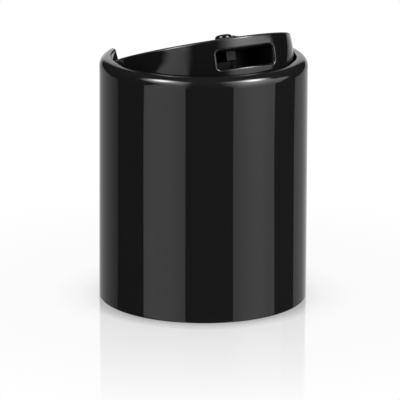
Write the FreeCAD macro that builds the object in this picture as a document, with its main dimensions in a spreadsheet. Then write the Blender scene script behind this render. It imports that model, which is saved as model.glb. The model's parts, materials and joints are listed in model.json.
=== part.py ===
# Press-top dispensing cap for a 24 mm bottle neck, in two mouldings, posed open.
# Millimetres. The origin is the centre of the foot of the skirt, +Z is up, and the spout side is -Y.
# The disc is drawn about its own pivot, with the pivot axis along X, and is tilted in place.
import FreeCAD, Part
import math
import os
import re
import Sketcher

SIZES = {
    # skirt of the shell, sized by the bottle's neck
    "thread_root_radius": 12.2,
    "thread_height": 1.15,
    "thread_base": 1.8,
    "thread_crest": 0.7,
    "thread_pitch": 3.175,
    "thread_turns": 1.75,
    "thread_start": 4.0,
    "entry_flare": 0.3,
    "entry_depth": 1.8,
    "side_wall": 1.6,
    "side_taper": 0.1,
    "foot_round": 0.3,
    # rings under the deck that meet the bottle's mouth
    "neck_seat": 17.0,
    "land_ring_depth": 7.85,
    "land_ring_inset": 1.5,
    "land_ring_wall": 1.3,
    "plug_ring_inset": 1.3,
    "plug_ring_wall": 1.1,
    "plug_ring_reach": 1.8,
    "deck_thickness": 1.4,
    # rim, and the finger notch in its rear
    "rim_wall": 1.6,
    "rim_flat": 0.1,
    "rim_edge_round": 0.2,
    "notch_width": 17.9,
    "notch_offset": 0.65,
    "notch_depth": 2.9,
    "notch_slant": 25,
    "notch_round": 1.2,
    # pivot
    "pivot_setback": 3.0,
    "pivot_drop": 1.6,
    "open_angle": 19.0,
    "trunnion_radius": 0.9,
    "trunnion_reach": 0.6,
    "trunnion_lead": 0.25,
    "socket_clearance": 0.05,
    "socket_end_gap": 0.1,
    # spout on the deck, curved about the pivot axis
    "spout_near_radius": 7.8,
    "spout_depth": 3.4,
    "spout_width": 2.9,
    "spout_wall": 0.7,
    "spout_top_gap": 0.6,
    # disc
    "swing_gap": 0.2,
    "plate_thickness": 1.5,
    "skirt_wall": 1.0,
    "front_foot_gap": 0.25,
    "rear_foot_gap": 0.2,
    "top_edge_round": 0.3,
    # dispensing window, the nozzle channel behind it and its sleeve
    "window_width": 8.4,
    "window_height": 2.45,
    "window_corner": 0.5,
    "window_edge": 0.25,
    "nozzle_wall": 0.8,
    "slide_clearance": 0.08,
    "sleeve_length": 1.2,
    "sleeve_foot_gap": 0.4,
    "plug_engagement": 0.55,
    # bump and ribs
    "bump_radius": 1.15,
    "bump_height": 0.85,
    "bump_round": 0.5,
    "bump_forward": 6.2,
    "rib_spacing": 5.0,
    "rib_thickness": 0.8,
    "rib_depth": 1.5,
    # how far joined features run into each other
    "overlap": 0.2,
}

# Places in the shell, worked out from the sizes
OUTER_RADIUS = "(thread_root_radius + side_wall)"
RIM_RADIUS = f"({OUTER_RADIUS} - side_taper)"
RECESS_RADIUS = f"({RIM_RADIUS} - rim_wall)"
RIM_ROUND = "(rim_wall - rim_edge_round - rim_flat)"
RECESS_DEPTH = "(plate_thickness + window_height + nozzle_wall + sleeve_length + sleeve_foot_gap)"
DECK_UNDER = "(neck_seat + land_ring_depth)"
DECK_TOP = f"({DECK_UNDER} + deck_thickness)"
CAP_HEIGHT = f"({DECK_TOP} + {RECESS_DEPTH})"
PIVOT_HEIGHT = f"({CAP_HEIGHT} - pivot_drop)"
SPOUT_FAR_RADIUS = "(spout_near_radius + spout_depth)"
TRUNNION_END = f"(sqrt({RECESS_RADIUS} ^ 2 - pivot_setback ^ 2) + trunnion_reach)"

# Places in the disc, as heights over the pivot and distances from it
DISC_CENTRE = "(-pivot_setback)"
SWING_RADIUS = f"({RECESS_RADIUS} + pivot_setback - swing_gap)"
SKIRT_MIDDLE = f"({SWING_RADIUS} - pivot_setback - skirt_wall / 2)"
DECK_LEVEL = f"(pivot_drop - {RECESS_DEPTH})"
PLATE_UNDER = "(pivot_drop - plate_thickness)"
SPOUT_LEVEL = f"({PLATE_UNDER} - spout_top_gap)"
WINDOW_FOOT = f"({PLATE_UNDER} - window_height)"
NOZZLE_FOOT = f"({WINDOW_FOOT} - nozzle_wall)"
NOZZLE_BACK = f"(sqrt((spout_near_radius - slide_clearance) ^ 2 - {NOZZLE_FOOT} ^ 2) - nozzle_wall - overlap)"
SLEEVE_FOOT = f"({DECK_LEVEL} + sleeve_foot_gap)"
FRONT_FOOT = f"({DECK_LEVEL} + front_foot_gap)"
REAR_REACH = f"({SWING_RADIUS} - 2 * pivot_setback)"
REAR_FALL = f"({REAR_REACH} * sin(open_angle * 1 deg))"
REAR_FOOT = f"(({DECK_LEVEL} + rear_foot_gap + {REAR_FALL}) / cos(open_angle * 1 deg))"
TRUNNION_ROOT = f"sqrt({SKIRT_MIDDLE} ^ 2 - pivot_setback ^ 2)"
RIB_END = f"(sqrt({SKIRT_MIDDLE} ^ 2 - (rib_spacing / 2 + rib_thickness / 2) ^ 2) - pivot_setback)"

# How close two numbers are that mean the same place
SAME = 1e-3

doc = FreeCAD.newDocument("PressTopCap")


def ref(text):
    """The expression with each size's name turned into its cell."""
    return re.sub(r"[a-z_]+", lambda m: "Sizes." + m[0] if m[0] in SIZES else m[0], text)


def value(text):
    """The number that an expression gives now."""
    return float(sheet.evalExpression(ref(text)))


def fill_sheet():
    table = doc.addObject("Spreadsheet::Sheet", "Sizes")
    for row, (name, number) in enumerate(SIZES.items(), 1):
        table.set(f"A{row}", name)
        table.set(f"B{row}", str(number))
        table.setAlias(f"B{row}", name)
    doc.recompute()
    return table


def new_body(label):
    body = doc.addObject("PartDesign::Body", label)
    body.Label = label
    return body


def new_sketch(body, name, role, lift):
    """An empty sketch on one of the body's own origin planes, lifted along the plane's normal."""
    sketch = body.newObject("Sketcher::SketchObject", name)
    plane = next(f for f in body.Origin.OriginFeatures if f.Role == role)
    sketch.AttachmentSupport = [(plane, "")]
    sketch.MapMode = "FlatFace"
    sketch.setExpression("AttachmentOffset.Base.z", ref(lift))
    return sketch


def bind(sketch, kind, items, text):
    """A dimension whose value is an expression."""
    index = sketch.addConstraint(Sketcher.Constraint(kind, *items, value(text)))
    sketch.setExpression(f"Constraints[{index}]", ref(text))


def fix(sketch, edge, end, across, up):
    """Holds a point at the given distances from the sketch's origin, where they are given."""
    for text, kind, axis in ((across, "DistanceX", -2), (up, "DistanceY", -1)):
        if text == "0":
            sketch.addConstraint(Sketcher.Constraint("PointOnObject", edge, end, axis))
        elif text is not None:
            bind(sketch, kind, (-1, 1, edge, end), text)


def place(corner, bend):
    """A corner's point now. A missing distance is worked out from the arc that the corner ends."""
    across, up = corner[:2]
    if across is not None and up is not None:
        return FreeCAD.Vector(value(across), value(up))
    middle_across, middle_up, radius, side = bend
    if across is None:
        rise = value(up) - value(middle_up)
        run = side * math.sqrt(value(radius) ** 2 - rise ** 2)
        return FreeCAD.Vector(value(middle_across) + run, value(up))
    run = value(across) - value(middle_across)
    rise = side * math.sqrt(value(radius) ** 2 - run ** 2)
    return FreeCAD.Vector(value(across), value(middle_up) + rise)


def arc_between(start, end, bend):
    """The shorter arc between two points, and which of its ends is the first point."""
    middle = FreeCAD.Vector(value(bend[0]), value(bend[1]))
    first, last = (math.atan2(p.y - middle.y, p.x - middle.x) for p in (start, end))
    circle = Part.Circle(middle, FreeCAD.Vector(0, 0, 1), value(bend[2]))
    if (last - first) % (2 * math.pi) < math.pi:
        return Part.ArcOfCircle(circle, first, last), 1
    return Part.ArcOfCircle(circle, last, first), 2


def outline(body, name, role, corners, lift="0"):
    """A closed, fully dimensioned sketch. Each corner is (across, up) or (across, up, bend), where bend is
    the arc to the next corner: (centre across, centre up, radius, side of the centre it lies on)."""
    sketch = new_sketch(body, name, role, lift)
    bends = [c[2] if len(c) > 2 else None for c in corners]
    points = [place(c, bends[i] or bends[i - 1]) for i, c in enumerate(corners)]
    ends = []
    for i, bend in enumerate(bends):
        start, end = points[i], points[(i + 1) % len(points)]
        if bend:
            arc, first = arc_between(start, end, bend)
            sketch.addGeometry(arc)
            ends.append((first, 3 - first))
        else:
            sketch.addGeometry(Part.LineSegment(start, end))
            ends.append((1, 2))
    for i, corner in enumerate(corners):
        following = (i + 1) % len(corners)
        sketch.addConstraint(Sketcher.Constraint("Coincident", i, ends[i][1], following, ends[following][0]))
        fix(sketch, i, ends[i][0], corner[0], corner[1])
        if bends[i]:
            fix(sketch, i, 3, bends[i][0], bends[i][1])
            bind(sketch, "Radius", (i,), bends[i][2])
    return sketch


def circle_sketch(body, name, role, across, up, radius, lift="0"):
    """A sketch of one circle."""
    sketch = new_sketch(body, name, role, lift)
    centre = FreeCAD.Vector(value(across), value(up))
    sketch.addGeometry(Part.Circle(centre, FreeCAD.Vector(0, 0, 1), value(radius)))
    fix(sketch, 0, 3, across, up)
    bind(sketch, "Radius", (0,), radius)
    return sketch


def band(near, far, low, high, centre_across="0", centre_up="0", side=-1):
    """The corners of a curved band about the pivot: two arcs, cut level at the bottom and the top."""
    return [
        (None, low, (centre_across, centre_up, near, side)),
        (None, high),
        (None, high, (centre_across, centre_up, far, side)),
        (None, low),
    ]


def shape_with(body, kind, sketch, name, adds, length=None, symmetric=False, reverse=False):
    """Adds a feature from a sketch, and checks that it adds or removes material as it should."""
    before = body.Shape.Volume if body.Tip else 0
    made = body.newObject("PartDesign::" + kind, name)
    made.Profile = sketch
    made.Refine = True
    if kind == "Revolution":
        made.ReferenceAxis = (sketch, ["V_Axis"])
    if length:
        made.setExpression("Length", ref(length))
        made.SideType = "Symmetric" if symmetric else "One side"
        made.Reversed = reverse
    doc.recompute()
    if "Invalid" in made.State:
        raise RuntimeError(f"{name} failed: {made.getStatusString()}")
    change = body.Shape.Volume - before
    if (change > 0) != adds or abs(change) < SAME:
        raise RuntimeError(f"{name} changed the volume by {change:.4f}")
    return made


def dress(body, kind, name, wanted, size, amount):
    """A fillet or chamfer on the edges that the test picks."""
    base = body.Tip
    names = [f"Edge{i}" for i, edge in enumerate(base.Shape.Edges, 1) if wanted(edge)]
    if not names:
        raise RuntimeError(f"{name} finds no edge")
    made = body.newObject("PartDesign::" + kind, name)
    made.Base = (base, names)
    made.setExpression(size, ref(amount))
    doc.recompute()
    if "Invalid" in made.State:
        raise RuntimeError(f"{name} failed: {made.getStatusString()}")
    return made


def near(a, b):
    return abs(a - b) < SAME


def is_line(edge):
    return not edge.Degenerated and isinstance(edge.Curve, Part.Line)


def is_circle(edge):
    return not edge.Degenerated and isinstance(edge.Curve, Part.Circle)


def ring_at(edge, radius, height):
    """Is the edge a level circle of this radius at this height about the shell's axis?"""
    return is_circle(edge) and near(edge.Curve.Radius, value(radius)) and all(
        near(v.Z, value(height)) for v in edge.Vertexes
    )


def shell_section():
    """Half section of the turned form: outside, recess, deck, rings and skirt."""
    land_outer = "(thread_root_radius - land_ring_inset)"
    land_inner = f"({land_outer} - land_ring_wall)"
    plug_outer = f"({land_inner} - plug_ring_inset)"
    plug_inner = f"({plug_outer} - plug_ring_wall)"
    plug_tip = "(neck_seat - plug_ring_reach)"
    entry_radius = "(thread_root_radius + entry_flare)"
    return [
        (OUTER_RADIUS, "0"),
        (RIM_RADIUS, CAP_HEIGHT),
        (RECESS_RADIUS, CAP_HEIGHT),
        (RECESS_RADIUS, DECK_TOP),
        ("0", DECK_TOP),
        ("0", DECK_UNDER),
        (plug_inner, DECK_UNDER),
        (plug_inner, plug_tip),
        (plug_outer, plug_tip),
        (plug_outer, DECK_UNDER),
        (land_inner, DECK_UNDER),
        (land_inner, "neck_seat"),
        (land_outer, "neck_seat"),
        (land_outer, DECK_UNDER),
        ("thread_root_radius", DECK_UNDER),
        ("thread_root_radius", "entry_depth + entry_flare"),
        (entry_radius, "entry_depth"),
        (entry_radius, "0"),
    ]


def cut_notch(body):
    """Finger notch through the rear wall, a little off the centre, with slanted sides and rounded lower
    corners."""
    floor = f"{CAP_HEIGHT} - notch_depth"
    above = f"{CAP_HEIGHT} + rim_wall"
    half_floor = "(notch_width / 2 - notch_depth * tan(notch_slant * 1 deg))"
    half_above = "(notch_width / 2 + rim_wall * tan(notch_slant * 1 deg))"
    corners = [
        (f"notch_offset - {half_floor}", floor),
        (f"notch_offset + {half_floor}", floor),
        (f"notch_offset + {half_above}", above),
        (f"notch_offset - {half_above}", above),
    ]
    sketch = outline(body, "notch_sketch", "XZ_Plane", corners)
    shape_with(body, "Pocket", sketch, "notch", False, f"{OUTER_RADIUS} + overlap")

    def lower_corner(edge):
        return is_line(edge) and all(
            near(v.Z, value(floor)) and near(abs(v.X - value("notch_offset")), value(half_floor))
            for v in edge.Vertexes
        )

    dress(body, "Fillet", "notch_corners", lower_corner, "Radius", "notch_round")


def add_spout(body):
    """Curved spout on the deck, hollow through the deck, and its passage."""
    centre = ("pivot_setback", PIVOT_HEIGHT)
    top = f"({PIVOT_HEIGHT} + {SPOUT_LEVEL})"
    wall = band("spout_near_radius", SPOUT_FAR_RADIUS, f"{DECK_TOP} - overlap", top, *centre)
    sketch = outline(body, "spout_sketch", "YZ_Plane", wall)
    shape_with(body, "Pad", sketch, "spout", True, "spout_width", symmetric=True)
    hollow = band(
        "spout_near_radius + spout_wall",
        f"{SPOUT_FAR_RADIUS} - spout_wall",
        f"{DECK_UNDER} - overlap",
        f"{top} + overlap",
        *centre,
    )
    sketch = outline(body, "passage_sketch", "YZ_Plane", hollow)
    shape_with(body, "Pocket", sketch, "passage", False, "spout_width - 2 * spout_wall", symmetric=True)


def add_thread(body):
    """Right-hand thread rib inside the skirt."""
    root = "thread_root_radius + overlap"
    corners = [
        (root, "thread_start - thread_base / 2"),
        (root, "thread_start + thread_base / 2"),
        ("thread_root_radius - thread_height", "thread_start + thread_crest / 2"),
        ("thread_root_radius - thread_height", "thread_start - thread_crest / 2"),
    ]
    sketch = outline(body, "thread_sketch", "XZ_Plane", corners)
    before = body.Shape.Volume
    rib = body.newObject("PartDesign::AdditiveHelix", "thread")
    rib.Profile = sketch
    rib.ReferenceAxis = (sketch, ["V_Axis"])
    rib.Mode = "pitch-turns-angle"
    rib.setExpression("Pitch", ref("thread_pitch"))
    rib.setExpression("Turns", ref("thread_turns"))
    doc.recompute()
    if body.Shape.Volume <= before:
        raise RuntimeError("the thread adds nothing")


def make_shell():
    body = new_body("shell")
    section = outline(body, "section", "XZ_Plane", shell_section())
    shape_with(body, "Revolution", section, "turned_form", True)
    for name, radius, height, round_radius in (
        ("rim", RIM_RADIUS, CAP_HEIGHT, RIM_ROUND),
        ("rim_edge", RECESS_RADIUS, CAP_HEIGHT, "rim_edge_round"),
        ("foot", OUTER_RADIUS, "0", "foot_round"),
    ):
        dress(body, "Fillet", name, lambda e: ring_at(e, radius, height), "Radius", round_radius)
    cut_notch(body)
    add_spout(body)
    sketch = circle_sketch(
        body, "socket_sketch", "YZ_Plane", "pivot_setback", PIVOT_HEIGHT, "trunnion_radius + socket_clearance"
    )
    length = f"2 * ({TRUNNION_END} + socket_end_gap)"
    shape_with(body, "Pocket", sketch, "sockets", False, length, symmetric=True)
    add_thread(body)
    return body


def disc_section():
    """Half section of the disc: top plate and a skirt that swells about the pivot."""
    outer = (DISC_CENTRE, "0", SWING_RADIUS, 1)
    inner = (DISC_CENTRE, "0", f"({SWING_RADIUS} - skirt_wall)", 1)
    return [
        ("0", "pivot_drop"),
        (None, "pivot_drop", outer),
        (None, FRONT_FOOT),
        (None, FRONT_FOOT, inner),
        (None, PLATE_UNDER),
        ("0", PLATE_UNDER),
    ]


def slope_skirt(body):
    """Cuts the skirt's foot along a slope: deep at the front, shallow at the rear."""
    front = f"-({SWING_RADIUS})"
    rear = f"({RECESS_RADIUS} - pivot_setback)"
    below = f"({FRONT_FOOT} - skirt_wall)"
    corners = [(front, FRONT_FOOT), (rear, REAR_FOOT), (rear, below), (front, below)]
    sketch = outline(body, "slope_sketch", "YZ_Plane", corners)
    shape_with(body, "Pocket", sketch, "skirt_slope", False, f"2 * {RECESS_RADIUS}", symmetric=True)


def add_nozzle(body):
    """Block behind the window, and the sleeve under it that slides on the spout."""
    half = "(window_width / 2 + nozzle_wall)"
    middle_of_wall = f"(sqrt({SWING_RADIUS} ^ 2 - pivot_drop ^ 2) - pivot_setback - skirt_wall / 2)"
    front = ("0", DISC_CENTRE, middle_of_wall, -1)
    corners = [
        (half, f"-{NOZZLE_BACK}"),
        (f"-{half}", f"-{NOZZLE_BACK}"),
        (f"-{half}", None, front),
        (half, None),
    ]
    sketch = outline(body, "nozzle_sketch", "XY_Plane", corners, NOZZLE_FOOT)
    height = f"{PLATE_UNDER} + overlap - {NOZZLE_FOOT}"
    shape_with(body, "Pad", sketch, "nozzle", True, height)
    spread = "(slide_clearance + nozzle_wall)"
    sleeve = band(
        f"(spout_near_radius - {spread})",
        f"({SPOUT_FAR_RADIUS} + {spread})",
        SLEEVE_FOOT,
        f"{NOZZLE_FOOT} + overlap",
    )
    sketch = outline(body, "sleeve_sketch", "YZ_Plane", sleeve)
    shape_with(body, "Pad", sketch, "sleeve", True, f"spout_width + 2 * {spread}", symmetric=True)


def hollow_nozzle(body):
    """Channel from the window back over the spout, and the sleeve's bore."""
    half = "window_width / 2"
    back = "(spout_near_radius - slide_clearance)"
    corners = [
        (f"-{half}", WINDOW_FOOT),
        (half, WINDOW_FOOT),
        (half, PLATE_UNDER),
        (f"-{half}", PLATE_UNDER),
    ]
    sketch = outline(body, "window_sketch", "XZ_Plane", corners, back)
    shape_with(body, "Pocket", sketch, "channel", False, f"{SWING_RADIUS} - {back} + overlap", reverse=True)

    def channel_corner(edge):
        return is_line(edge) and near(abs(edge.Curve.Direction.y), 1) and all(
            near(abs(v.X), value(half))
            and (near(v.Z, value(WINDOW_FOOT)) or near(v.Z, value(PLATE_UNDER)))
            and v.Y < -value(back) + SAME
            for v in edge.Vertexes
        )

    dress(body, "Fillet", "window_corners", channel_corner, "Radius", "window_corner")
    bore = band(
        "(spout_near_radius - slide_clearance)",
        f"({SPOUT_FAR_RADIUS} + slide_clearance)",
        f"{SLEEVE_FOOT} - overlap",
        f"{SPOUT_LEVEL} + slide_clearance",
    )
    sketch = outline(body, "bore_sketch", "YZ_Plane", bore)
    width = "spout_width + 2 * slide_clearance"
    shape_with(body, "Pocket", sketch, "sleeve_bore", False, width, symmetric=True)


def add_plug(body):
    """Plug under the plate that shuts the spout's passage when the disc is down."""
    inset = "(spout_wall + slide_clearance)"
    plug = band(
        f"(spout_near_radius + {inset})",
        f"({SPOUT_FAR_RADIUS} - {inset})",
        f"({SPOUT_LEVEL} - plug_engagement)",
        f"({PLATE_UNDER} + overlap)",
    )
    sketch = outline(body, "plug_sketch", "YZ_Plane", plug)
    shape_with(body, "Pad", sketch, "plug", True, f"spout_width - 2 * {inset}", symmetric=True)


def add_trunnions(body):
    """A stub on each side, on the pivot axis, with a lead on its end."""
    length = f"{TRUNNION_END} - {TRUNNION_ROOT}"
    for name, lift, reverse in (("right", TRUNNION_ROOT, False), ("left", "-" + TRUNNION_ROOT, True)):
        sketch = circle_sketch(body, name + "_trunnion_sketch", "YZ_Plane", "0", "0", "trunnion_radius", lift)
        shape_with(body, "Pad", sketch, name + "_trunnion", True, length, reverse=reverse)

    def tip(edge):
        return is_circle(edge) and all(near(abs(v.X), value(TRUNNION_END)) for v in edge.Vertexes)

    dress(body, "Chamfer", "trunnion_leads", tip, "Size", "trunnion_lead")


def add_ribs(body):
    """Two ribs under the plate, from the nozzle back to the rear skirt."""
    for name, side in (("right", ""), ("left", "-")):
        near_side = f"{side}(rib_spacing / 2 - rib_thickness / 2)"
        far_side = f"{side}(rib_spacing / 2 + rib_thickness / 2)"
        front = f"-({NOZZLE_BACK} + overlap)"
        corners = [(near_side, front), (far_side, front), (far_side, RIB_END), (near_side, RIB_END)]
        lift = f"{PLATE_UNDER} - rib_depth"
        sketch = outline(body, name + "_rib_sketch", "XY_Plane", corners, lift)
        shape_with(body, "Pad", sketch, name + "_rib", True, "rib_depth + overlap")


def add_bump(body):
    """Tactile bump on the top, on the spout's centre line: a button with a well rounded edge."""
    foot, top = "(pivot_drop - overlap)", "(pivot_drop + bump_height)"
    shoulder = f"({top} - bump_round)"
    edge = ("(bump_radius - bump_round)", shoulder, "bump_round", 1)
    corners = [("0", foot), ("bump_radius", foot), (None, shoulder, edge), (edge[0], None), ("0", top)]
    sketch = outline(body, "bump_sketch", "XZ_Plane", corners, "pivot_setback + bump_forward")
    shape_with(body, "Revolution", sketch, "bump", True)


def round_disc(body):
    """Rounded rim of the disc and a fine break on the window's edge."""

    def top_edge(edge):
        return is_circle(edge) and edge.Curve.Radius > value("bump_radius") and all(
            near(v.Z, value("pivot_drop")) for v in edge.Vertexes
        )

    dress(body, "Fillet", "top_edge", top_edge, "Radius", "top_edge_round")

    def window_edge(edge):
        if edge.Degenerated:
            return False
        middle = edge.valueAt((edge.FirstParameter + edge.LastParameter) / 2)
        reach = math.hypot(middle.x, middle.y - value(DISC_CENTRE)) + value("pivot_setback")
        outside = near(math.hypot(reach, middle.z), value(SWING_RADIUS))
        beside = abs(middle.x) <= value("window_width / 2") + SAME
        level = value(WINDOW_FOOT) - SAME <= middle.z <= value(PLATE_UNDER) + SAME
        return outside and beside and level

    dress(body, "Fillet", "window_edge", window_edge, "Radius", "window_edge")


def make_disc():
    body = new_body("disc")
    section = outline(body, "section_sketch", "XZ_Plane", disc_section(), "pivot_setback")
    shape_with(body, "Revolution", section, "dished_form", True)
    slope_skirt(body)
    add_nozzle(body)
    hollow_nozzle(body)
    add_plug(body)
    add_trunnions(body)
    add_ribs(body)
    add_bump(body)
    round_disc(body)
    body.Placement.Rotation = FreeCAD.Rotation(FreeCAD.Vector(1, 0, 0), -value("open_angle"))
    body.setExpression("Placement.Base.y", ref("pivot_setback"))
    body.setExpression("Placement.Base.z", ref(PIVOT_HEIGHT))
    body.setExpression("Placement.Rotation.Angle", ref("-open_angle"))
    return body


def check(parts):
    """Stops on any failed object or broken solid."""
    for thing in doc.Objects:
        if "Invalid" in thing.State or "Error" in thing.State:
            raise RuntimeError(f"{thing.Name} failed")
    for body in parts:
        if body.Shape.isNull() or not body.Shape.isValid() or len(body.Shape.Solids) != 1:
            raise RuntimeError(f"{body.Label} is not one sound solid")


sheet = fill_sheet()
bodies = [make_shell(), make_disc()]
doc.recompute()
check(bodies)
os.makedirs("parts", exist_ok=True)
for body in bodies:
    body.Shape.exportStep(f"parts/{body.Label}.step")
    print(body.Label, round(body.Shape.Volume, 2), body.Shape.BoundBox)
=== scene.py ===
# %% [markdown]
# # A press-top dispensing cap in glossy black plastic
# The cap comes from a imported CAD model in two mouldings: the shell that screws on the bottle, and the
# disc that rocks in its top. This notebook keeps both as they are and gives them their finish, light,
# floor and camera. Everything is in metres, with the cap standing on the floor at the origin.

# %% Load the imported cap
import json
import math

import bpy
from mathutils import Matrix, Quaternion, Vector

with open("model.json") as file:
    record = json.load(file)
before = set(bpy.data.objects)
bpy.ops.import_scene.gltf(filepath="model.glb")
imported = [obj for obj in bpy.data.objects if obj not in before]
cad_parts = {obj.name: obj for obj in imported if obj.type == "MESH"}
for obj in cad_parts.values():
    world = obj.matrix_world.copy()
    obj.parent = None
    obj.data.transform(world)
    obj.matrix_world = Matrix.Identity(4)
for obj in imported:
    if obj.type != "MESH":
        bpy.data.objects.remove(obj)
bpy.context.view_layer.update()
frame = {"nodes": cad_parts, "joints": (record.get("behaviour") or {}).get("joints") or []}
shell = frame["nodes"]["shell"]
disc = frame["nodes"]["disc"]
MM = 0.001

# %% [markdown]
# ## The camera
# The cap was photographed with a long lens, a little above the rim and from the left of the spout, so
# that the open disc shows its window. A long lens makes the shell's sides nearly parallel. A camera
# could be aimed by hand until the view looks right, but a compass angle, a height angle and a distance
# are easier to repeat and to correct. A few measured points of the outline settle them, and the camera
# is then moved sideways until the cap falls where it should in the frame.

# %% Place the camera
CAMERA_AZIMUTH = math.radians(-30.5)
CAMERA_ELEVATION = math.radians(15.15)
CAMERA_ROLL = math.radians(0.25)
CAMERA_DISTANCE = 500 * MM
PIXELS_PER_METRE = 7565
FRAME_WIDTH = 400
SENSOR_WIDTH = 36
MIDDLE_OF_CAP = Vector((0, 0, 16.3 * MM))
PIXELS_LEFT, PIXELS_DOWN = 3.1, 24.5
CLIP_NEAR, CLIP_FAR = 0.01, 20


def towards(azimuth, elevation):
    """Unit vector at a compass angle and a height angle. Azimuth 0 is the spout side, -Y."""
    level = math.cos(elevation)
    return Vector((math.sin(azimuth) * level, -math.cos(azimuth) * level, math.sin(elevation)))


def make_camera():
    """A camera that looks back along its own direction. Its place is the middle of the cap, plus the
    direction times the distance, less the sideways and upward pixels turned into metres."""
    data = bpy.data.cameras.new("long_lens")
    data.sensor_width = SENSOR_WIDTH
    data.lens = SENSOR_WIDTH * PIXELS_PER_METRE * CAMERA_DISTANCE / FRAME_WIDTH
    data.clip_start, data.clip_end = CLIP_NEAR, CLIP_FAR
    camera = bpy.data.objects.new("long_lens", data)
    back = towards(CAMERA_AZIMUTH, CAMERA_ELEVATION)
    turn = Quaternion(back, CAMERA_ROLL) @ back.to_track_quat("Z", "Y")
    across = turn @ Vector((1, 0, 0)) * PIXELS_LEFT + turn @ Vector((0, 1, 0)) * PIXELS_DOWN
    camera.location = MIDDLE_OF_CAP + back * CAMERA_DISTANCE - across / PIXELS_PER_METRE
    camera.rotation_mode = "QUATERNION"
    camera.rotation_quaternion = turn
    bpy.context.scene.collection.objects.link(camera)
    return camera


camera = make_camera()
bpy.context.scene.camera = camera
bpy.context.scene.view_settings.view_transform = "Standard"
print("lens, mm:", round(camera.data.lens, 1))

# %% [markdown]
# ## Small helpers for node trees
# Both mouldings, the floor and the surroundings are built from nodes. Each node could be made and
# joined line by line, but that is long and hides the sums. Short helpers keep the code readable: they
# add a node, start a material or a group, fill and join sockets, and do a sum.

# %% Node helpers


def add(tree, kind, **settings):
    """A new node of this kind. The settings are its properties, except for a dictionary called inputs,
    which holds the start values of its sockets."""
    node = tree.nodes.new(kind)
    inputs = settings.pop("inputs", {})
    for name, setting in settings.items():
        setattr(node, name, setting)
    for name, number in inputs.items():
        node.inputs[name].default_value = number
    return node


def new_material(name):
    """An empty node material and its tree."""
    material = bpy.data.materials.new(name)
    material.use_nodes = True
    material.node_tree.nodes.clear()
    return material, material.node_tree


def new_group(name, numbers, result, result_kind="NodeSocketFloat"):
    """An empty node group with one result: the group, the outputs that give its numbers, and the input
    for its result. The numbers come as a dictionary of start values."""
    group = bpy.data.node_groups.new(name, "ShaderNodeTree")
    for label, start in numbers.items():
        socket = group.interface.new_socket(label, in_out="INPUT", socket_type="NodeSocketFloat")
        socket.default_value = start
    group.interface.new_socket(result, in_out="OUTPUT", socket_type=result_kind)
    given, out = add(group, "NodeGroupInput"), add(group, "NodeGroupOutput")
    return group, given.outputs, out.inputs[result]


def connect(tree, *pairs):
    """Joins each output to its input."""
    for source, target in pairs:
        tree.links.new(source, target)


def fill(tree, socket, given):
    """Sets an input to a number, or joins it to another node's output."""
    if isinstance(given, (int, float)):
        socket.default_value = given
    else:
        connect(tree, (given, socket))


def calculate(tree, operation, *values):
    """A maths node. Each value is a number or another node's output."""
    node = add(tree, "ShaderNodeMath", operation=operation)
    for socket, given in zip(node.inputs, values):
        fill(tree, socket, given)
    return node.outputs["Value"]


def step_between(tree, value, start, end, kind="LINEAR"):
    """0 before the start, 1 past the end. Between them the step is straight, or smooth if asked."""
    step = add(tree, "ShaderNodeMapRange", interpolation_type=kind)
    for name, given in (("Value", value), ("From Min", start), ("From Max", end)):
        fill(tree, step.inputs[name], given)
    return step.outputs["Result"]


def grey(level):
    """An opaque grey."""
    return level, level, level, 1


helpers = add, new_material, new_group, connect, fill, calculate, step_between, grey
print("node helpers:", [helper.__name__ for helper in helpers])

# %% [markdown]
# ## What a polished mould leaves: soft waves
# A polished mould gives a surface like black glass, but not a perfect one. The plastic shrinks unevenly
# as it cools, which bends reflections a little over a few millimetres. The waves could be modelled, but
# they are far too low to change the shape, so soft noise tilts the shading instead. Both mouldings show
# them, so the effect is a node group that is built once.

# %% Node group: shrinkage waves
WAVES_PER_METRE = 90
WAVE_HEIGHT = 0.1 * MM
WAVE_DEPTH = 0.1
WAVE_DETAIL, WAVE_SHARPNESS = 1.0, 0.3


def make_shrinkage_waves():
    """Normal of a surface lifted by soft noise: lift = depth x wave height x noise(position x scale)."""
    numbers = {"Waves per Metre": WAVES_PER_METRE, "Depth": WAVE_DEPTH}
    group, given, result = new_group("shrinkage waves", numbers, "Normal", "NodeSocketVector")
    place = add(group, "ShaderNodeTexCoord")
    look = {"Detail": WAVE_DETAIL, "Roughness": WAVE_SHARPNESS}
    noise = add(group, "ShaderNodeTexNoise", inputs=look)
    bump = add(group, "ShaderNodeBump", inputs={"Distance": WAVE_HEIGHT})
    connect(
        group,
        (place.outputs["Object"], noise.inputs["Vector"]),
        (given["Waves per Metre"], noise.inputs["Scale"]),
        (noise.outputs["Fac"], bump.inputs["Height"]),
        (given["Depth"], bump.inputs["Strength"]),
        (bump.outputs["Normal"], result),
    )
    return group


shrinkage_waves = make_shrinkage_waves()
print("group sockets:", [item.name for item in shrinkage_waves.interface.items_tree])

# %% [markdown]
# ## What handling leaves: a fine haze
# Packing and fingers leave fine scuffs, so the gloss is slightly hazy in patches. One roughness all
# over would look like paint. Fine noise, squeezed into soft patches and added to the polish, keeps most
# of the surface clear. Both mouldings share this effect too.

# %% Node group: handling haze
HAZE_POLISH, HAZE_DEPTH = 0.04, 0.05
PATCHES_PER_METRE = 260
PATCH_DETAIL, PATCH_SHARPNESS = 5.0, 0.6
PATCH_LIMITS = 0.45, 0.75


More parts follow.
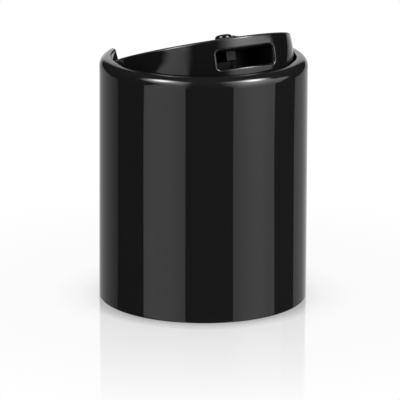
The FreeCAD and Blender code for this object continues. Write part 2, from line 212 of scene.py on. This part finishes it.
def make_handling_haze():
    """Roughness = polish + haze x mask, where the mask is fine noise squeezed into soft patches."""
    numbers = {"Polish": HAZE_POLISH, "Haze": HAZE_DEPTH, "Patches per Metre": PATCHES_PER_METRE}
    group, given, result = new_group("handling haze", numbers, "Roughness")
    place = add(group, "ShaderNodeTexCoord")
    look = {"Detail": PATCH_DETAIL, "Roughness": PATCH_SHARPNESS}
    noise = add(group, "ShaderNodeTexNoise", inputs=look)
    mask = step_between(group, noise.outputs["Fac"], *PATCH_LIMITS)
    connect(
        group,
        (place.outputs["Object"], noise.inputs["Vector"]),
        (given["Patches per Metre"], noise.inputs["Scale"]),
        (calculate(group, "MULTIPLY_ADD", mask, given["Haze"], given["Polish"]), result),
    )
    return group


handling_haze = make_handling_haze()
print("group sockets:", [item.name for item in handling_haze.interface.items_tree])

# %% [markdown]
# ## Where the disc isn't polished
# Only the outside of the disc is polished. Inside, round the nozzle channel, the cores of the mould are
# left rough, so the window looks black. Thumbs dull the rounded edge of the top as well. The rough faces
# could be picked out and given a material of their own, but the edge fades gradually, and one mask by
# place keeps the whole disc in a single material. The disc's outside is simple to name: the flat top,
# and a skirt that keeps one reach from the pivot as it swings. The mask turns each point back to the
# closed pose and asks how deep it lies under both: a little at the rounded edge, more inside.

# %% Node group: unpolished surfaces
rocker = frame["joints"][0]
PIVOT = Vector(rocker["pos_m"])
CLOSING_TURN = math.radians(rocker["range_deg"][1])
PLATE_OVER_PIVOT = 1.6 * MM
SKIRT_REACH = 14.9 * MM
INNER_DEPTHS = 0.2 * MM, 0.4 * MM
EDGE_DEPTHS = 0.008 * MM, 0.02 * MM
EDGE_ENDS = 0.3 * MM, 0.4 * MM
EDGE_SHARE = 0.8


def make_unpolished_mask():
    """Depth = the lesser depth under the two outer surfaces of the closed disc: the plate's top, and the
    skirt, where (distance from the disc's axis + setback) and height over the pivot have a fixed reach.
    Unpolished = the larger of an inside step of the depth and a share of an edge step, near the top."""
    group, _, result = new_group("unpolished surfaces", {}, "Unpolished")
    place = add(group, "ShaderNodeTexCoord")
    pose = {"Center": PIVOT, "Angle": CLOSING_TURN}
    closed = add(group, "ShaderNodeVectorRotate", rotation_type="X_AXIS", inputs=pose)
    parts = add(group, "ShaderNodeSeparateXYZ")
    flat = add(group, "ShaderNodeVectorMath", operation="MULTIPLY", inputs={1: (1, 1, 0)})
    radius = add(group, "ShaderNodeVectorMath", operation="LENGTH")
    connect(
        group,
        (place.outputs["Object"], closed.inputs["Vector"]),
        (closed.outputs["Vector"], parts.inputs["Vector"]),
        (closed.outputs["Vector"], flat.inputs[0]),
        (flat.outputs["Vector"], radius.inputs[0]),
    )
    over_pivot = calculate(group, "SUBTRACT", parts.outputs["Z"], PIVOT.z)
    across = calculate(group, "ADD", radius.outputs["Value"], PIVOT.y)
    square = calculate(group, "MULTIPLY", over_pivot, over_pivot)
    squares = calculate(group, "MULTIPLY_ADD", across, across, square)
    under_skirt = calculate(group, "SUBTRACT", SKIRT_REACH, calculate(group, "SQRT", squares))
    under_plate = calculate(group, "SUBTRACT", PLATE_OVER_PIVOT, over_pivot)
    depth = calculate(group, "MINIMUM", under_skirt, under_plate)
    inside, edge_depth, below_edge = (
        step_between(group, measure, *ends, kind="SMOOTHSTEP")
        for measure, ends in ((depth, INNER_DEPTHS), (depth, EDGE_DEPTHS), (under_plate, EDGE_ENDS))
    )
    near_top = calculate(group, "SUBTRACT", EDGE_SHARE, below_edge)
    edge = calculate(group, "MULTIPLY", edge_depth, near_top)
    connect(group, (calculate(group, "MAXIMUM", inside, edge), result))
    return group


unpolished_surfaces = make_unpolished_mask()
print("pivot, mm:", [round(v / MM, 2) for v in PIVOT])
print("closing turn, degrees:", round(math.degrees(CLOSING_TURN), 1))

# %% [markdown]
# ## The two black plastics
# Both mouldings are coloured right through. The colour itself is close to black, and what is seen is
# the gloss: a clear plastic skin returns about four parts in a hundred of the light that falls straight
# on it, and far more at a grazing angle. A mixed metal and paint material could be made as dark, but it
# would shine evenly from every side. A dark base under a plain plastic reflection brightens towards the
# outline, as the real cap does. The disc is a little less shiny, because it is gripped and pressed.

# %% Materials for shell and disc
PLASTIC_IOR = 1.5
UNPOLISHED_ROUGHNESS = 0.5
SHELL_BLACK = (0.0075, 0.0075, 0.0077, 1)
DISC_BLACK = (0.0045, 0.0045, 0.0047, 1)
SHELL_FINISH = dict(polish=0.03, haze=0.03, wave_depth=0.06)
DISC_FINISH = dict(polish=0.06, haze=0.05, wave_depth=0.1, unpolished=unpolished_surfaces)


def make_black_gloss(name, colour, polish, haze, wave_depth, unpolished=None):
    """Principled plastic: a near-black base under a clear reflection, with the two shared effects. With
    a mask for what isn't polished, roughness = polish + haze + mask x the unpolished roughness."""
    material, tree = new_material(name)
    base = {"Base Color": colour, "IOR": PLASTIC_IOR}
    plastic = add(tree, "ShaderNodeBsdfPrincipled", inputs=base)
    out = add(tree, "ShaderNodeOutputMaterial")
    gloss = {"Polish": polish, "Haze": haze}
    hazed = add(tree, "ShaderNodeGroup", node_tree=handling_haze, inputs=gloss)
    waved = add(tree, "ShaderNodeGroup", node_tree=shrinkage_waves, inputs={"Depth": wave_depth})
    roughness = hazed.outputs["Roughness"]
    if unpolished:
        mask = add(tree, "ShaderNodeGroup", node_tree=unpolished).outputs["Unpolished"]
        roughness = calculate(tree, "MULTIPLY_ADD", mask, UNPOLISHED_ROUGHNESS, roughness)
    connect(
        tree,
        (roughness, plastic.inputs["Roughness"]),
        (waved.outputs["Normal"], plastic.inputs["Normal"]),
        (plastic.outputs["BSDF"], out.inputs["Surface"]),
    )
    return material


finishes = {
    shell: make_black_gloss("shell_black", SHELL_BLACK, **SHELL_FINISH),
    disc: make_black_gloss("disc_black", DISC_BLACK, **DISC_FINISH),
}
for moulding, finish in finishes.items():
    for holder in moulding.material_slots:
        holder.material = finish
print("finishes:", [finish.name for finish in finishes.values()])

# %% [markdown]
# ## The studio around the cap
# A glossy black object is a picture of its surroundings. Here they are a dark room with a pale backdrop
# behind the cap, and two tall softboxes, one to each side of the camera, which draw the bands on the
# shell and the disc. A small lamp above each softbox draws the bright marks on the rim and the bump.
# Softboxes and lamps could stand in the scene as lit sheets. The cap is tiny beside them, though, so
# only the direction of the light counts, and light that is written by direction is easier to shape.
#
# A direction is a compass angle from the camera and a height angle, both in degrees. An edge that leans
# or softens as it rises is a few (height, compass, softness) stops. The light of a panel is its level
# at a compass angle, given as (compass, level) stops, times its gain at a height, given as
# (height, gain) stops.

# %% What stands in the studio
ROOM = 0.015
SOFTBOX_LEFT = dict(
    left_edge=((-18, -68, 0.5), (-14, -69.3, 0.5), (5, -50, 6), (14, -48, 8), (32, -80, 8)),
    right_edge=((-18, -18.6, 0.5), (-14, -19.6, 0.5), (14, -19, 8), (40, -22, 8)),
    across=((-90, 0.8), (-70, 0.84), (-58, 0.97), (-40, 0.95), (-20, 0.74), (0, 0.74)),
    upwards=((-15, 1.0), (5, 1.25), (20, 1.3), (35, 3.5), (58, 3.5), (64, 0)),
)
SOFTBOX_RIGHT = dict(
    left_edge=((-18, 34.4, 0.5), (-14, 33, 0.5), (20, 35, 18)),
    right_edge=((-18, 88, 0.5), (-14, 84.6, 0.5), (4, 106, 4), (14, 104, 6), (24, 88, 6)),
    across=((33, 0.7), (38, 0.76), (47, 0.92), (57, 1.0), (67, 0.98), (78, 0.8), (87, 0.72)),
    upwards=((-15, 1.0), (0, 1.8), (20, 3.7), (35, 4.0), (58, 4.0), (64, 0)),
)
BACKDROP_LEFT = dict(
    right_edge=((-13, -109, 0.5), (5, -158, 4)),
    across=((-180, 1.0), (-165, 0.95), (-160, 0.5), (-130, 0.32), (-111, 0.2)),
    upwards=((30, 1.0), (42, 0)),
)
BACKDROP_RIGHT = dict(
    left_edge=((-18, 121.5, 0.5), (-14, 119.5, 0.5), (5, 160, 4)),
    across=((121, 0.4), (140, 0.4), (155, 0.6), (165, 0.8), (180, 1.0)),
    upwards=((30, 1.0), (42, 0)),
)
PANELS = SOFTBOX_LEFT, SOFTBOX_RIGHT, BACKDROP_LEFT, BACKDROP_RIGHT
# Compass angle, height angle, angular width and light of each small lamp
LAMPS = (-61, 50, 9, 24), (72, 46, 9, 24)
print("panels:", len(PANELS), "lamps:", len(LAMPS))

# %% [markdown]
# ## From stops to light
# A real softbox has soft, slightly leaning edges and is brighter in its middle. Each of these changes
# along an angle could be a curve node. A colour ramp does the same with a few stops, and its red and
# green carry two values at once, here the place of an edge and its softness.

# %% Node helpers for angles
FULL_TURN, HALF_TURN = 360, 180
MIDDLE = 0.5


def ramp_of(tree, degrees, span, stops):
    """Red and green at an angle, from a colour ramp with (degrees, red, green) stops. The ramp is the
    span wide, and angle 0 is in its middle: place on the ramp = degrees / span + a half."""
    place = calculate(tree, "MULTIPLY_ADD", degrees, 1 / span, MIDDLE)
    ramp = add(tree, "ShaderNodeValToRGB")
    points = ramp.color_ramp.elements
    while len(points) < len(stops):
        points.new(MIDDLE)
    for point, (angle, red, green) in zip(points, stops):
        point.position = angle / span + MIDDLE
        point.color = (red, green, 0, 1)
    colour = add(tree, "ShaderNodeSeparateColor")
    connect(tree, (place, ramp.inputs["Fac"]), (ramp.outputs["Color"], colour.inputs["Color"]))
    return colour.outputs["Red"], colour.outputs["Green"]


def value_at(tree, degrees, span, stops):
    """One value at an angle, from (degrees, value) stops."""
    return ramp_of(tree, degrees, span, [(angle, value, 0) for angle, value in stops])[0]


def past_edge(tree, compass, height, stops):
    """Smooth step from 0 to 1 across an edge: (compass - edge at this height) over its softness."""
    coded = [(angle, edge / FULL_TURN + MIDDLE, softness / FULL_TURN) for angle, edge, softness in stops]
    edge, softness = ramp_of(tree, height, HALF_TURN, coded)
    place = calculate(tree, "MULTIPLY_ADD", compass, 1 / FULL_TURN, MIDDLE)
    beyond = calculate(tree, "SUBTRACT", place, edge)
    before = calculate(tree, "MULTIPLY", softness, -1)
    return step_between(tree, beyond, before, softness, kind="SMOOTHSTEP")


def panel_light(tree, compass, height, across, upwards, left_edge=None, right_edge=None):
    """Level across x gain upwards, between the panel's edges."""
    level = value_at(tree, compass, FULL_TURN, across)
    gain = value_at(tree, height, HALF_TURN, upwards)
    light = calculate(tree, "MULTIPLY", level, gain)
    if left_edge:
        light = calculate(tree, "MULTIPLY", light, past_edge(tree, compass, height, left_edge))
    if right_edge:
        beyond = past_edge(tree, compass, height, right_edge)
        light = calculate(tree, "MULTIPLY", light, calculate(tree, "SUBTRACT", 1, beyond))
    return light


def lamp_light(tree, direction, azimuth, elevation, width, light):
    """Light x exp((cos(angle off the lamp) - 1) / (1 - cos(width)))."""
    axis = towards(math.radians(azimuth), math.radians(elevation))
    aligned = add(tree, "ShaderNodeVectorMath", operation="DOT_PRODUCT", inputs={1: axis})
    connect(tree, (direction, aligned.inputs[0]))
    fall = 1 / (1 - math.cos(math.radians(width)))
    power = calculate(tree, "MULTIPLY_ADD", aligned.outputs["Value"], fall, -fall)
    return calculate(tree, "MULTIPLY", calculate(tree, "EXPONENT", power), light)


light_helpers = ramp_of, value_at, past_edge, panel_light, lamp_light
print("light helpers:", [helper.__name__ for helper in light_helpers])

# %% [markdown]
# ## The surroundings in one world
# The room, the panels and the lamps light the cap together, and behind it the photograph is plain white.
# A white sheet behind the cap could give that white, but its own image would then lie on the gloss. So
# one world holds both: the studio for all that the cap reflects, and white for what the camera sees.

# %% Surroundings
BACKGROUND = 1.0


def make_surroundings():
    """Room + panels + lamps, by direction. The camera itself sees plain white."""
    world = bpy.data.worlds.new("studio")
    world.use_nodes = True
    tree = world.node_tree
    tree.nodes.clear()
    place = add(tree, "ShaderNodeTexCoord")
    turned = add(tree, "ShaderNodeMapping", inputs={"Rotation": (0, 0, -CAMERA_AZIMUTH)})
    parts = add(tree, "ShaderNodeSeparateXYZ")
    direction = turned.outputs["Vector"]
    connect(
        tree,
        (place.outputs["Generated"], turned.inputs["Vector"]),
        (direction, parts.inputs["Vector"]),
    )
    ahead = calculate(tree, "MULTIPLY", parts.outputs["Y"], -1)
    compass = calculate(tree, "DEGREES", calculate(tree, "ARCTAN2", parts.outputs["X"], ahead))
    height = calculate(tree, "DEGREES", calculate(tree, "ARCSINE", parts.outputs["Z"]))
    total = ROOM
    for panel in PANELS:
        total = calculate(tree, "ADD", panel_light(tree, compass, height, **panel), total)
    for lamp in LAMPS:
        total = calculate(tree, "ADD", lamp_light(tree, direction, *lamp), total)
    studio = add(tree, "ShaderNodeBackground")
    white = add(tree, "ShaderNodeBackground", inputs={"Color": grey(BACKGROUND)})
    ray = add(tree, "ShaderNodeLightPath")
    chosen = add(tree, "ShaderNodeMixShader")
    out = add(tree, "ShaderNodeOutputWorld")
    connect(
        tree,
        (total, studio.inputs["Color"]),
        (ray.outputs["Is Camera Ray"], chosen.inputs["Fac"]),
        (studio.outputs["Background"], chosen.inputs[1]),
        (white.outputs["Background"], chosen.inputs[2]),
        (chosen.outputs["Shader"], out.inputs["Surface"]),
    )
    return world


studio_world = make_surroundings()
bpy.context.scene.world = studio_world
print("nodes in the studio:", len(studio_world.node_tree.nodes))

# %% [markdown]
# ## The floor
# The cap stands on a polished white sheet. To the camera the sheet is as white as the background, with
# a shade close round the foot and a soft mirror image of the cap that fades away from it. The shade is
# partly painted: a dark grey paint, lit by the studio and so holding the cap's real shadow, is mixed in
# near the foot by a share that falls with the distance. A plain glossy sheet could show the image, but
# it would be greyer than the background. White, mixed with a reflection and the dark painted shade by
# shares that fall with the distance, gives the fade directly. The cap's own gloss doesn't see the
# sheet, so that the tall bands run down to the foot.

# %% Material of the sheet
FOOT_RADIUS = 13.8 * MM
MIRROR_END, FLOOR_MIRROR = 52 * MM, 0.25
CONTACT_END, CONTACT_MIRROR = 16.4 * MM, 0.3
SHADE_END, FLOOR_SHADE = 20 * MM, 0.12
FLOOR_ROUGHNESS = 0.04
# Dark grey: the sheet for all but camera rays, and painted shade mixed in near the foot for the camera
FLOOR_AND_SHADE_PAINT = 0.4


def fall_off(tree, distance, end, share):
    """The share at the foot, falling in a straight line to zero at the end distance."""
    ends = {"From Min": FOOT_RADIUS, "From Max": end, "To Min": share, "To Max": 0}
    fall = add(tree, "ShaderNodeMapRange", inputs=ends)
    connect(tree, (distance, fall.inputs["Value"]))
    return fall.outputs["Result"]


def make_white_sheet():
    """To the camera: white, mixed with its reflection and its dark paint, a painted shade that also
    takes the cap's real shadow, by shares that fall to nothing at given distances from the cap's axis.
    Mirror share = long fall + short fall at the foot. Other rays see the dark paint alone."""
    material, tree = new_material("white_sheet")
    place = add(tree, "ShaderNodeTexCoord")
    distance = add(tree, "ShaderNodeVectorMath", operation="LENGTH")
    connect(tree, (place.outputs["Object"], distance.inputs[0]))
    falls = (MIRROR_END, FLOOR_MIRROR), (CONTACT_END, CONTACT_MIRROR), (SHADE_END, FLOOR_SHADE)
    far, near, shaded = (fall_off(tree, distance.outputs["Value"], *fall) for fall in falls)
    mirrored = calculate(tree, "ADD", far, near)
    white = add(tree, "ShaderNodeEmission", inputs={"Color": grey(BACKGROUND)})
    mirror = add(tree, "ShaderNodeBsdfGlossy", inputs={"Roughness": FLOOR_ROUGHNESS})
    # Dark paint: painted shade near the foot, on top of the cap's real shadow that it takes
    floor_and_shade_paint = add(tree, "ShaderNodeBsdfDiffuse", inputs={"Color": grey(FLOOR_AND_SHADE_PAINT)})
    lit, seen, chosen = (add(tree, "ShaderNodeMixShader") for _ in range(3))
    ray = add(tree, "ShaderNodeLightPath")
    out = add(tree, "ShaderNodeOutputMaterial")
    connect(
        tree,
        (mirrored, lit.inputs["Fac"]),
        (white.outputs["Emission"], lit.inputs[1]),
        (mirror.outputs["BSDF"], lit.inputs[2]),
        (shaded, seen.inputs["Fac"]),
        (lit.outputs["Shader"], seen.inputs[1]),
        (floor_and_shade_paint.outputs["BSDF"], seen.inputs[2]),
        (ray.outputs["Is Camera Ray"], chosen.inputs["Fac"]),
        (floor_and_shade_paint.outputs["BSDF"], chosen.inputs[1]),
        (seen.outputs["Shader"], chosen.inputs[2]),
        (chosen.outputs["Shader"], out.inputs["Surface"]),
    )
    return material


white_sheet = make_white_sheet()
print("sheet material:", white_sheet.name, "with", len(white_sheet.node_tree.nodes), "nodes")

# %% Lay the floor
FLOOR_REACH = 4.0
FLOOR_CORNERS = (-1, -1), (1, -1), (1, 1), (-1, 1)


def lay_floor():
    """A square sheet at height zero, its corners one reach to each side of the origin."""
    mesh = bpy.data.meshes.new("floor")
    mesh.from_pydata([(x * FLOOR_REACH, y * FLOOR_REACH, 0) for x, y in FLOOR_CORNERS], [], [range(4)])
    mesh.materials.append(white_sheet)
    floor = bpy.data.objects.new("floor", mesh)
    bpy.context.scene.collection.objects.link(floor)
    floor.visible_glossy = False
    return floor


floor = lay_floor()
print("floor side, m:", round(floor.dimensions.x, 2))
